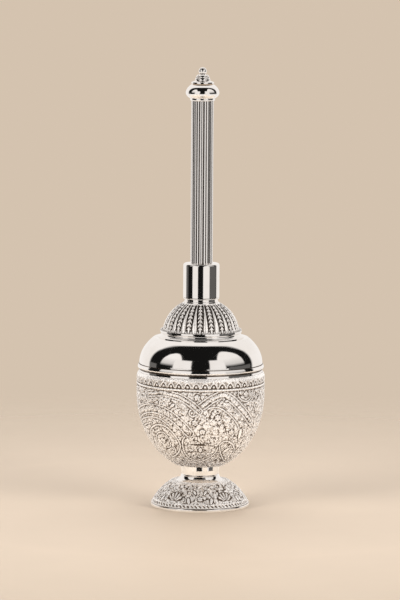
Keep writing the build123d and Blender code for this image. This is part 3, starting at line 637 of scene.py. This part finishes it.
FOOT_EDGE = (36.1 * MM, 2.6 * MM)
FOOT_CROWN = (21.4 * MM, 18.7 * MM)
FOOT_SEAT = (14.0 * MM, 22.8 * MM)
FOOT_SWELL = 1.5 * MM
FOOT_SINK = 2.0 * MM
SCREW_HOLE = 2.6 * MM
FOOT_COLUMNS = 620
SHELLS = 5
FAN_PITCH = 0.41  # angle from rib to rib of a fan, in radians
POLISHED_FROM = 18.9 * MM  # over this height the foot is plain and polished
FOOT_SCROLLS = (4.4, 18.2, 3.2)  # from height, to height, spacing
SHELL_LEVEL = 10.4  # in millimetres, as are the next two
FLOWER_LEVEL = 9.4
LEAF_LEVELS = (13.6, 8.0)  # of the leaves beside flowers and beside fans
ROPE_TWISTS = 74


def set_shell(skin, turn, height):
    """A fan of ribs that opens upwards from a small cushion, in a dark hollow."""
    patch = Patch(skin, radians(turn), skin.row_at(height * MM), 9.5)
    hub = patch.up + 4.8
    away = np.hypot(patch.side, hub)
    angle = np.arctan2(patch.side, hub)
    tip = 8.6 - 1.6 * angle**2
    ribs = 0.5 + 0.5 * np.cos(angle * tau / FAN_PITCH)
    fan = (0.12 + 0.88 * ribs) * fall(away, tip - 0.5, tip) * rise(away, 1.4, 2.4)
    fan *= fall(np.abs(angle), 1.02, 1.14)
    hollow = fall(away, tip + 0.2, tip + 0.8) * fall(np.abs(angle), 1.15, 1.3)
    cushion = fall(np.hypot(patch.side / 2.6, (hub - 0.2) / 0.9), 0.7, 1.0)
    patch.clear(np.where(hub > -0.8, hollow, 0))
    patch.lift(np.maximum(fan, cushion))


def emboss_foot():
    """The foot as one closed mesh."""
    side = bowed(FOOT_EDGE, FOOT_CROWN, FOOT_SWELL, 40)
    cove = bowed(FOOT_CROWN, FOOT_SEAT, -FOOT_SINK, 16)
    outside = evenly(np.concatenate([side, cove[1:]]), 0.45 * MM)
    inner = inset(evenly(outside, 3.0 * MM), SHEET)[1:-1]
    seat, top = FOOT_SEAT
    low = top - PLATE
    plate = [(SCREW_HOLE, top), (SCREW_HOLE, low), (seat - SHEET, low)]
    rim = [(FOOT_EDGE[0] - SHEET, FOOT_EDGE[1])]
    skin = Skin(outside, FOOT_COLUMNS)
    grain_ground(skin, seed=21)
    set_scrolls(skin, *FOOT_SCROLLS, seed=23)
    turn_share = 360 / SHELLS  # in degrees
    for k in range(SHELLS):
        flower, shell = k * turn_share, (k + 0.5) * turn_share
        set_shell(skin, shell, SHELL_LEVEL)
        set_rosette(skin, flower, FLOWER_LEVEL, 2.2, 6)
        for hand in (-1, 1):
            set_leaf(skin, flower + hand * 8, LEAF_LEVELS[0], 5.0, 1.1, hand * 30)
            set_leaf(skin, shell + hand * 21, LEAF_LEVELS[1], 6.0, 1.4, hand * -15)
    up, height = skin.along[:, None] / MM, skin.height[:, None] / MM
    rope = 0.5 + 0.5 * np.cos(ROPE_TWISTS * skin.turn[None, :] + 1.8 * up)
    skin.clear(fall(np.abs(up - 1.7), 0.75, 1.0), GROUND - GROUND * rope)
    line = fall(np.abs(up - 3.1), 0.2, 0.5)
    plain = np.maximum(rise(height, 18.0, 18.8), fall(up, 0.3, 0.7))
    skin.clear(np.maximum(line, plain), 0.0)
    under = np.concatenate([plate, inner[::-1], rim])
    made = turned_object("foot_embossed", skin, under, closed=True)
    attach(made, "body")
    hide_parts("foot")
    return made


# Small rows of beads, and the petals of the rose

BEADS = 3 * LEAF_COLUMNS  # in the row at the foot of the dome
BEAD_CIRCLE = 29.1 * MM
BEAD_LEVEL = 130.75 * MM
BEAD_RADIUS = 0.85 * MM


def bead_row(name, count, radius, height, bead, body):
    """A ring of small round beads."""
    rings, sides = 8, 12
    tilt = np.linspace(-pi / 2, pi / 2, rings + 1)
    points, faces = [], []
    for k in range(count):
        centre = around(radius, tau * (k + 0.5) / count, height)
        first = len(points)
        for row in tilt[1:-1]:
            for side in range(sides):
                spin = tau * side / sides
                offset = np.array([cos(row) * cos(spin), cos(row) * sin(spin), sin(row)])
                points.append(centre + offset * bead)
        low, high = len(points), len(points) + 1
        points += [centre - (0, 0, bead), centre + (0, 0, bead)]
        top = first + (rings - 2) * sides
        for side in range(sides):
            after = (side + 1) % sides
            for row in range(rings - 2):
                here = first + row * sides
                there = here + sides
                faces.append((here + side, here + after, there + after, there + side))
            faces.append((low, first + after, first + side))
            faces.append((high, top + side, top + after))
    made = mesh_object(name, np.array(points), faces)
    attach(made, body)
    return made


PETAL_TIERS = [
    # radius low, radius high, height low, height high
    (5.25 * MM, 4.45 * MM, 314.2 * MM, 316.8 * MM),
    (4.7 * MM, 2.6 * MM, 316.4 * MM, 319.2 * MM),
]
PETALS = 4
PETAL_SPREAD = radians(38)
PETAL_SWELL = 0.45 * MM
PETAL_SINK = 0.5 * MM
PETAL_BEND = 1.6  # above 1, a petal is widest low down


def bud_petals():
    """Two tiers of cushion-shaped petals over the bud of the rose."""
    rings, sides = 7, 28
    points, faces = [], []
    for low_radius, high_radius, low, high in PETAL_TIERS:
        for k in range(PETALS):
            first = len(points)
            middle = tau * k / PETALS
            for ring in range(2 * rings - 1):
                if ring < rings:
                    share = (ring + 1) / rings
                    swell = PETAL_SWELL * sqrt(max(0.0, 1 - share**2))
                else:
                    share = (2 * rings - 1 - ring) / rings
                    swell = -PETAL_SINK * (1 - share**2)
                for side in range(sides):
                    spin = tau * side / sides
                    across, ahead = share * cos(spin), share * sin(spin)
                    if ahead > 0:
                        across *= 1 - 0.35 * ahead
                    level = (ahead + 1) / 2
                    bend = (high_radius - low_radius) * level**PETAL_BEND
                    radius = low_radius + bend + swell
                    turn = middle + across * PETAL_SPREAD
                    height = low + (high - low) * level
                    points.append(around(radius, turn, height))
            bare = low_radius + (high_radius - low_radius) * 0.5**PETAL_BEND
            front_tip, back_tip = len(points), len(points) + 1
            for radius in (bare + PETAL_SWELL, bare - PETAL_SINK):
                points.append(around(radius, middle, (low + high) / 2))
            last = first + (2 * rings - 2) * sides
            for side in range(sides):
                after = (side + 1) % sides
                faces.append((front_tip, first + side, first + after))
                faces.append((back_tip, last + after, last + side))
                for ring in range(2 * rings - 2):
                    here = first + ring * sides
                    there = here + sides
                    faces.append((here + side, there + side, there + after, here + after))
    made = mesh_object("rose_petals", np.array(points), faces)
    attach(made, "rose_head")
    return made


# Materials

finishes = {}


def new_material(name, metallic=0.0):
    """Tree and shader of a new material, which is kept under its name."""
    finishes[name] = bpy.data.materials.new(name)
    finishes[name].use_nodes = True
    tree = finishes[name].node_tree
    shader = tree.nodes["Principled BSDF"]
    shader.inputs["Metallic"].default_value = metallic
    return tree, shader


def new_node(tree, kind, **values):
    """Shader node with values set on its inputs."""
    node = tree.nodes.new("ShaderNode" + kind)
    for socket, value in values.items():
        node.inputs[socket].default_value = value
    return node


def link(source, target):
    """Joins two sockets."""
    target.id_data.links.new(source, target)


def math_node(operation, *values):
    """Math node on sockets and numbers."""
    tree = next(value.id_data for value in values if not isinstance(value, (int, float)))
    node = new_node(tree, "Math")
    node.operation = operation
    for target, value in zip(node.inputs, values):
        if isinstance(value, (int, float)):
            target.default_value = value
        else:
            link(value, target)
    return node.outputs["Value"]


def times(first, second):
    """Product of two sockets or numbers."""
    return math_node("MULTIPLY", first, second)


def larger(first, second):
    """The larger of two sockets or numbers."""
    return math_node("MAXIMUM", first, second)


def object_place(tree):
    """Place in the object's own coordinates."""
    return new_node(tree, "TexCoord").outputs["Object"]


def axes_of(place):
    """X, Y and Z of a place."""
    split = new_node(place.id_data, "SeparateXYZ")
    link(place, split.inputs["Vector"])
    return split.outputs


def turn_of(axes):
    """Turn round Z of a place, in degrees from the front."""
    return times(math_node("ARCTAN2", axes["X"], times(axes["Y"], -1.0)), 180 / pi)


def noise(tree, scale, detail=3.0, roughness=0.5, drawn_out=1.0):
    """Noise texture in the object's own coordinates, drawn out along Z."""
    texture = new_node(tree, "TexNoise", Scale=scale, Detail=detail, Roughness=roughness)
    stretch = new_node(tree, "VectorMath")
    stretch.operation = "MULTIPLY"
    stretch.inputs[1].default_value = (1.0, 1.0, 1.0 / drawn_out)
    link(object_place(tree), stretch.inputs[0])
    link(stretch.outputs["Vector"], texture.inputs["Vector"])
    return texture.outputs["Fac"]


def remap(source, low, high, new_low=0.0, new_high=1.0):
    """Map Range node from one range to another."""
    limits = {"From Min": low, "From Max": high, "To Min": new_low, "To Max": new_high}
    node = new_node(source.id_data, "MapRange", **limits)
    link(source, node.inputs["Value"])
    return node.outputs["Result"]


def stretched(texture, low, high):
    """Noise made to run from low to high."""
    return remap(texture, 0.3, 0.7, low, high)


def colour_ramp(source, stops):
    """Colour ramp through (place, colour) stops."""
    node = new_node(source.id_data, "ValToRGB")
    ramp = node.color_ramp
    while len(ramp.elements) < len(stops):
        ramp.elements.new(0.5)
    for element, (place, colour) in zip(ramp.elements, stops):
        element.position = place
        element.color = (*colour, 1)
    link(source, node.inputs["Fac"])
    return node.outputs["Color"]


def colour_where(factor, source, colour):
    """The colour of a socket, and a set one where the factor is 1."""
    node = new_node(source.id_data, "Mix")
    node.data_type = "RGBA"
    link(factor, node.inputs["Factor"])
    link(source, node.inputs[6])
    node.inputs[7].default_value = (*colour, 1)
    return node.outputs[2]


def soft_band(value, low, high, edge):
    """1 between low and high, 0 outside, with soft edges."""
    up = remap(value, low - edge, low + edge)
    down = remap(value, high - edge, high + edge, 1.0, 0.0)
    return times(up, down)


def paint(shader, colour, roughness):
    """Colour and roughness of a shader from sockets."""
    link(colour, shader.inputs["Base Color"])
    link(roughness, shader.inputs["Roughness"])


def bump(shader, height, strength, distance):
    """Bump node into the shader's normal."""
    node = new_node(height.id_data, "Bump", Strength=strength, Distance=distance)
    link(height, node.inputs["Height"])
    link(node.outputs["Normal"], shader.inputs["Normal"])


SILVER = (0.93, 0.905, 0.885)
SILVER_DULL = (0.87, 0.84, 0.81)
TARNISH = (0.085, 0.062, 0.045)
# near black: the colour of the dome's deepest ground
DOME_DARKEST = (0.035, 0.027, 0.022)
# colour of the tube's grooves: tarnish with painted shade
GROOVE_TARNISH_AND_SHADE = (0.20, 0.165, 0.14)
# colour of the seams: tarnish with painted shade
SEAM_TARNISH_AND_SHADE = (0.30, 0.25, 0.21)
PUNCH_SCALE = 700.0  # punch marks per metre
FINE = 0.2 * MM  # depth of the marks on plain metal


def wipe_marks(tree, shader):
    """Faint marks of wiping on polished silver."""
    bump(shader, noise(tree, 900.0, 2.0), 0.012, FINE)


def polished_silver():
    """Mirror-bright silver."""
    tree, shader = new_material("polished_silver", 1.0)
    tone = colour_ramp(noise(tree, 60.0), [(0.35, SILVER_DULL), (0.65, SILVER)])
    paint(shader, tone, stretched(noise(tree, 140.0, 5.0, 0.6), 0.04, 0.09))
    wipe_marks(tree, shader)


def carved_silver(name, stops, roughness, metallic, grain, punched):
    """Silver coloured by the depth of its relief, with fine punch marks in its lower parts.

    The stops are depths in millimetres, and roughness runs from the deepest to the surface.
    """
    tree, shader = new_material(name, metallic)
    stored = new_node(tree, "Attribute")
    stored.attribute_name = "relief"
    depth = stored.outputs["Fac"]
    deepest = stops[0][0]
    uneven = stretched(noise(tree, 700.0), deepest * 0.08, -deepest * 0.08)
    cells = new_node(tree, "TexVoronoi", Scale=PUNCH_SCALE)
    link(object_place(tree), cells.inputs["Vector"])
    marks = cells.outputs["Distance"]
    below_top = remap(depth, -0.10, -0.02, 1.0, 0.0)
    sunk = times(remap(marks, 0.35, 0.75, 0.0, punched), below_top)
    worn = math_node("SUBTRACT", math_node("ADD", depth, uneven), sunk)
    shares = [(1 - level / deepest, colour) for level, colour in stops]
    tone = colour_ramp(remap(worn, deepest, 0.0), shares)
    paint(shader, tone, remap(worn, deepest, 0.0, *roughness))
    bump(shader, times(marks, -1.0), grain, 0.6 * MM)


FROSTED_STOPS = [
    (-0.62, TARNISH),
    (-0.51, (0.20, 0.16, 0.135)),
    (-0.38, (0.58, 0.53, 0.48)),
    (-0.20, SILVER),
]
LEAF_STOPS = [
    (-0.86, DOME_DARKEST),
    (-0.60, (0.10, 0.08, 0.065)),
    (-0.42, (0.62, 0.58, 0.54)),
    (-0.28, SILVER),
]
REED_COUNT = 20
REED_TURN = 5  # degrees from the front to the nearest groove
GROOVE_SHARE = 0.13  # half a groove's width, as a share of the pitch


def reeded_silver():
    """Polished silver, faintly tarnished and darkened with painted shade in the grooves between
    the tube's reeds.
    """
    tree, shader = new_material("reeded_silver", 1.0)
    turn = turn_of(axes_of(object_place(tree)))
    reeds = times(math_node("SUBTRACT", turn, REED_TURN), REED_COUNT / 360)
    away = math_node("PINGPONG", reeds, 0.5)
    silver_share = remap(away, GROOVE_SHARE * 0.5, GROOVE_SHARE * 1.3)
    streaks = remap(noise(tree, 90.0, 2.0, 0.5, 12.0), 0.35, 0.65, 0.0, 0.35)
    silver_share = larger(silver_share, streaks)
    # the grooves take tarnish with painted shade
    tone = colour_ramp(silver_share, [(0.0, GROOVE_TARNISH_AND_SHADE), (1.0, SILVER)])
    paint(shader, tone, remap(silver_share, 0.0, 1.0, 0.30, 0.11))
    bump(shader, noise(tree, 700.0, 2.0, 0.5, 20.0), 0.01, FINE)


def seamed_silver(name, seams):
    """Polished silver with tarnish and painted shade in its seams: from and to heights, in
    millimetres.
    """
    tree, shader = new_material(name, 1.0)
    height = times(axes_of(object_place(tree))["Z"], 1 / MM)
    dark = 0.0
    for low, high in seams:
        dark = larger(soft_band(height, low, high, 0.15), dark)
    dark = times(dark, remap(noise(tree, 80.0, 4.0), 0.3, 0.6, 0.6, 1.0))
    # the seams are darkened with tarnish and painted shade
    tone = colour_ramp(dark, [(0.0, SILVER), (0.6, SEAM_TARNISH_AND_SHADE), (1.0, TARNISH)])
    paint(shader, tone, remap(dark, 0.0, 1.0, 0.06, 0.35))
    wipe_marks(tree, shader)


def mottled(name, metallic, scales, colours, roughness, strength, depth):
    """Plain material: noises of three scales give its colour, roughness and fine marks."""
    tree, shader = new_material(name, metallic)
    tones, patches, marks = (noise(tree, scale) for scale in scales)
    tone = colour_ramp(tones, list(zip((0.3, 0.7), colours)))
    paint(shader, tone, stretched(patches, *roughness))
    bump(shader, marks, strength, depth)


def dress(piece, *names):
    """Gives a piece its materials."""
    piece.data.materials.clear()
    for name in names:
        piece.data.materials.append(finishes[name])


BRASS = [(0.576, 0.432, 0.224), (0.72, 0.54, 0.28)]
STEEL = [(0.448, 0.456, 0.464), (0.56, 0.57, 0.58)]
CORK = [(0.30, 0.22, 0.15), (0.48, 0.37, 0.27)]
TURNED = (200.0, 500.0, 1200.0)
GRAINED = (900.0, 600.0, 1500.0)
# seams darkened with tarnish and painted shade, from and to heights in millimetres
GIRDLE_SEAMS = [(101.4, 102.5), (105.7, 106.3)]
RIM_SEAMS = [(2.2, 3.0)]
polished_silver()
carved_silver("embossed_silver", FROSTED_STOPS, (0.42, 0.18), 0.52, grain=0.5, punched=0.17)
carved_silver("leaf_silver", LEAF_STOPS, (0.26, 0.11), 0.54, grain=0.1, punched=0.0)
reeded_silver()
seamed_silver("girdle_silver", GIRDLE_SEAMS)
seamed_silver("rim_silver", RIM_SEAMS)
mottled("brass", 1.0, TURNED, BRASS, (0.22, 0.34), 0.05, FINE)
mottled("steel", 1.0, TURNED, STEEL, (0.28, 0.40), 0.05, FINE)
mottled("seal", 0.0, GRAINED, CORK, (0.6, 0.85), 0.3, 0.3 * MM)
SHARP_OVER = 24.0  # degrees between CAD faces, over which their edge is sharp


def clean_shading(node):
    """Smooth faces with true edges, in place of the normals that came with the frame."""
    mesh = node.data
    if "custom_normal" in mesh.attributes:
        mesh.attributes.remove(mesh.attributes["custom_normal"])
    mesh.shade_smooth()
    mesh.set_sharp_from_angle(angle=radians(SHARP_OVER))


slot_of = {part["node"]: part["material_slot"] for part in frame["record"]["subparts"]}
for node_name, node in nodes.items():
    dress(node, slot_of[node_name])
    clean_shading(node)
dress(nodes["neck_tube"], "reeded_silver")
dress(nodes["girdle_ring"], "girdle_silver")
dress(nodes["foot_rim_ring"], "rim_silver")

dress(emboss_bowl(), "embossed_silver")
dress(emboss_dome(), "leaf_silver")
foot = emboss_foot()
dress(foot, "embossed_silver", "polished_silver")
for face in foot.data.polygons:
    face.material_index = int(face.center.z > POLISHED_FROM)
beads = bead_row("dome_bead_row", BEADS, BEAD_CIRCLE, BEAD_LEVEL, BEAD_RADIUS, "body")
dress(beads, "polished_silver")
dress(bud_petals(), "polished_silver")


# Studio: a pale floor that fades into a pale background, and soft boxes seen only in reflections

BACKGROUND = (0.66, 0.545, 0.43)
FLOOR_COLOUR = (0.72, 0.595, 0.47)
FLOOR_RADIUS = 0.9
FLOOR_FADE = (0.22, 0.60)
MIRRORED_FADE = (0.45, 0.55)  # reach of the floor in reflections
NOTCH_FADE = (0.12, 0.18)  # and in its dark notches
NOTCHES = [(-23, 14), (44, 82)]  # turns of the notches, in degrees
NOTCH_EDGE = 2.0
MIRRORED_COLOUR = (0.98, 0.88, 0.76)
FLOOR_SIDES = 96


def make_floor():
    """Round floor with a fading edge, nearer in reflections. It is clear from below."""
    rim = around(FLOOR_RADIUS, tau * np.arange(FLOOR_SIDES) / FLOOR_SIDES, 0.0)
    faces = [(0, k + 1, (k + 1) % FLOOR_SIDES + 1) for k in range(FLOOR_SIDES)]
    floor = mesh_object("floor", np.concatenate([[(0, 0, 0)], rim]), faces)
    tree, shader = new_material("floor")
    darker = tuple(0.97 * part for part in FLOOR_COLOUR)
    tone = colour_ramp(noise(tree, 14.0, 4.0), [(0.3, darker), (0.7, FLOOR_COLOUR)])
    glossy = new_node(tree, "LightPath").outputs["Is Glossy Ray"]
    link(colour_where(glossy, tone, MIRRORED_COLOUR), shader.inputs["Base Color"])
    shader.inputs["Roughness"].default_value = 0.55
    shader.inputs["Specular IOR Level"].default_value = 0.3
    place = object_place(tree)
    length = new_node(tree, "VectorMath")
    length.operation = "LENGTH"
    link(place, length.inputs[0])
    away = length.outputs["Value"]
    turn = turn_of(axes_of(place))
    beyond = remap(away, *NOTCH_FADE)
    mirrored = remap(away, *MIRRORED_FADE)
    for left, right in NOTCHES:
        notch = soft_band(turn, left, right, NOTCH_EDGE)
        mirrored = larger(mirrored, times(notch, beyond))
    fade = larger(remap(away, *FLOOR_FADE), times(mirrored, glossy))
    behind = new_node(tree, "NewGeometry").outputs["Backfacing"]
    clear = new_node(tree, "BsdfTransparent")
    mix = new_node(tree, "MixShader")
    link(larger(fade, behind), mix.inputs["Fac"])
    link(shader.outputs["BSDF"], mix.inputs[1])
    link(clear.outputs["BSDF"], mix.inputs[2])
    link(mix.outputs["Shader"], tree.nodes["Material Output"].inputs["Surface"])
    dress(floor, "floor")


# turn from, turn to, elevation from, elevation to, in degrees, and brightness
SOFT_BOXES = [
    (-54, -18, -3, 31, 0.94),
    (17, 48, -3, 33, 0.92),
    (-58, -22, -14, -2, 0.95),
    (12, 54, -14, -2, 0.95),
    (55, 106, -14, 3, 0.12),
    (-110, -92, -14, 5, 0.14),
]
# middle turn, half width, elevation of the widest level, of the rounded top, and brightness
ROUND_BOXES = [(-60, 22, 20, 50, 0.98), (62, 29, 22, 58, 0.96)]
TURN_EDGE = 1.2  # softness of the boxes' sides, in degrees
LEVEL_EDGE = 1.5  # and of their tops and bottoms
ROUND_EDGE = (0.92, 1.08)
ROUND_START = (5.0, 13.0)  # elevations over which a rounded box begins
ROUND_SHADE = (8.0, 34.0, 0.62, 1.0)  # and over which it grows from a first brightness
REAR_LEAN = 0.49  # how far the bright rear leans over to the front, high up
REAR_FROM = 0.375
REAR_EDGE = 0.04
REAR_BRIGHTNESS = 0.97
BOTTOM_FADE = (-17, -12)  # elevations under which all is bright
DARK = 0.008
WARMTH = {"Red": 1.0, "Green": 0.965, "Blue": 0.935}


def make_world():
    """Pale to the camera. In reflections it is a dark front with soft boxes and a bright rear."""
    world = bpy.data.worlds.new("studio")
    bpy.context.scene.world = world
    world.use_nodes = True
    tree = world.node_tree
    axes = axes_of(new_node(tree, "TexCoord").outputs["Generated"])
    turn = turn_of(axes)
    height = times(math_node("ARCSINE", axes["Z"]), 180 / pi)
    total = DARK
    for left, right, low, high, brightness in SOFT_BOXES:
        wide = soft_band(turn, left, right, TURN_EDGE)
        tall = soft_band(height, low, high, LEVEL_EDGE)
        total = larger(total, times(times(wide, tall), brightness))
    for middle, half_width, level, top, brightness in ROUND_BOXES:
        side = times(math_node("SUBTRACT", turn, middle), 1 / half_width)
        over = larger(math_node("SUBTRACT", height, level), 0.0)
        over = times(over, 1 / (top - level))
        squares = [math_node("POWER", part, 2.0) for part in (side, over)]
        box = remap(math_node("ADD", *squares), *ROUND_EDGE, 1.0, 0.0)
        box = times(box, remap(height, *ROUND_START))
        box = times(box, remap(height, *ROUND_SHADE))
        total = larger(total, times(box, brightness))
    lean = math_node("POWER", larger(axes["Z"], 0.0), 4.0)
    rear = math_node("ADD", axes["Y"], times(lean, REAR_LEAN))
    rear = remap(rear, REAR_FROM - REAR_EDGE, REAR_FROM + REAR_EDGE)
    pale = larger(rear, remap(height, *BOTTOM_FADE, 1.0, 0.0))
    total = larger(total, times(pale, REAR_BRIGHTNESS))
    studio = new_node(tree, "CombineColor")
    for channel, share in WARMTH.items():
        link(times(total, share), studio.inputs[channel])
    seen = new_node(tree, "LightPath").outputs["Is Camera Ray"]
    colour = colour_where(seen, studio.outputs["Color"], BACKGROUND)
    link(colour, tree.nodes["Background"].inputs["Color"])


make_floor()
make_world()

LAMP_AIM = Vector((0, 0, 0.1))
LAMP_COLOUR = (1.0, 0.975, 0.95)
LAMPS = [
    # name, place, width and height, watts
    ("top_lamp", (0.0, 0.35, 1.5), (1.3, 0.9), 5.0),
    ("left_lamp", (-1.2, -0.85, 0.5), (0.8, 0.8), 17.0),
    ("right_lamp", (1.2, -0.85, 0.4), (0.8, 0.8), 19.0),
]
for name, place, size, power in LAMPS:
    data = bpy.data.lights.new(name, "AREA")
    data.shape = "RECTANGLE"
    data.size, data.size_y = size
    data.energy = power
    data.color = LAMP_COLOUR
    lamp = bpy.data.objects.new(name, data)
    bpy.context.scene.collection.objects.link(lamp)
    lamp.location = place
    lamp.rotation_mode = "QUATERNION"
    lamp.rotation_quaternion = (LAMP_AIM - Vector(place)).to_track_quat("-Z", "Y")
    lamp.visible_glossy = False  # reflections show the soft boxes alone

# Camera of the photograph, for a picture of 400 by 600 pixels

PICTURE_HEIGHT = 600
FOCAL_PIXELS = 3770
CAMERA_PLACE = Vector((-0.0009, -2.76, 0.47))
CAMERA_PITCH = 6.56
CAMERA_ROLL = 0.38
SENSOR_WIDTH = 36.0


def make_camera():
    """Long lens at the photograph's height and distance."""
    data = bpy.data.cameras.new("camera")
    data.sensor_width = SENSOR_WIDTH
    data.lens = FOCAL_PIXELS / PICTURE_HEIGHT * SENSOR_WIDTH
    camera = bpy.data.objects.new("camera", data)
    bpy.context.scene.collection.objects.link(camera)
    tilt = Matrix.Rotation(radians(90 - CAMERA_PITCH), 4, "X")
    roll = Matrix.Rotation(radians(CAMERA_ROLL), 4, "Z")
    camera.matrix_world = Matrix.Translation(CAMERA_PLACE) @ tilt @ roll
    bpy.context.scene.camera = camera


make_camera()
bpy.context.scene.view_settings.view_transform = "Standard"
